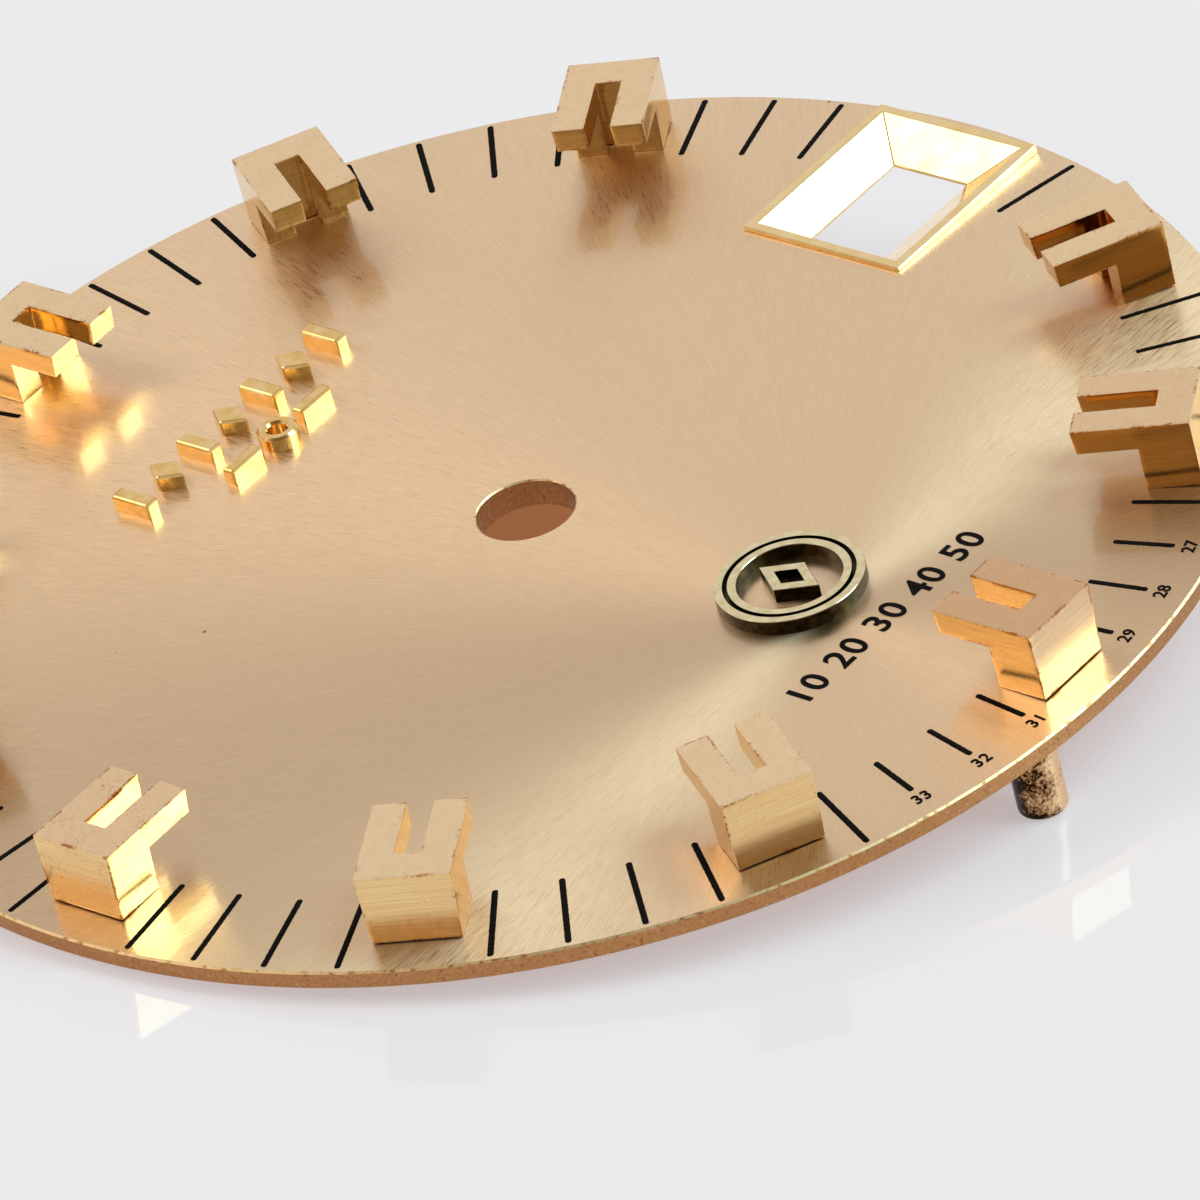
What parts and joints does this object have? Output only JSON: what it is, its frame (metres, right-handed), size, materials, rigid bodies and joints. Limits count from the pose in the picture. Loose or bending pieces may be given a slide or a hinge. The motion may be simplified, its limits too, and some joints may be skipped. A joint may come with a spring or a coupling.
{
  "type": "watch dial",
  "caption": "Round domed wristwatch dial plate with sunray brushing, applied fork-shaped hour markers, a bevelled date window frame, a printed minute track and two mounting feet.",
  "frame": {"origin": "centre of the centre hole at the flat back of the dial plate", "axes": "+Z out of the face, +Y to 12 o'clock, +X to 3 o'clock"},
  "size_m": [0.029, 0.029, 0.0033],
  "materials": {
    "sunray_face": "sunray brushed under clear lacquer",
    "marker_gold": "gilt, fine brushed top",
    "frame_gold": "gilt, polished",
    "ornament_gold": "gilt, polished",
    "black_ink": "matt pad-printed ink",
    "foot_copper": "drawn copper wire, tarnished"
  },
  "bodies": {
    "root": {"dial_plate": "sunray_face", "hour_marker_01": "marker_gold", "hour_marker_02": "marker_gold", "hour_marker_04": "marker_gold", "hour_marker_05": "marker_gold", "hour_marker_06": "marker_gold", "hour_marker_07": "marker_gold", "hour_marker_08": "marker_gold", "hour_marker_09": "marker_gold", "hour_marker_10": "marker_gold", "hour_marker_11": "marker_gold", "hour_marker_12": "marker_gold", "date_window_frame": "frame_gold", "upper_ornament_1": "ornament_gold", "upper_ornament_2": "ornament_gold", "upper_ornament_3": "ornament_gold", "upper_ornament_4": "ornament_gold", "upper_ornament_5": "ornament_gold", "upper_ornament_6": "ornament_gold", "upper_ornament_7": "ornament_gold", "upper_ornament_ring": "ornament_gold", "upper_ornament_left": "ornament_gold", "upper_ornament_right": "ornament_gold", "lower_ornament_ring": "ornament_gold", "lower_ornament_lozenge": "ornament_gold", "minute_track_print": "black_ink", "dial_foot_lower": "foot_copper", "dial_foot_upper": "foot_copper"}
  },
  "joints": []
}
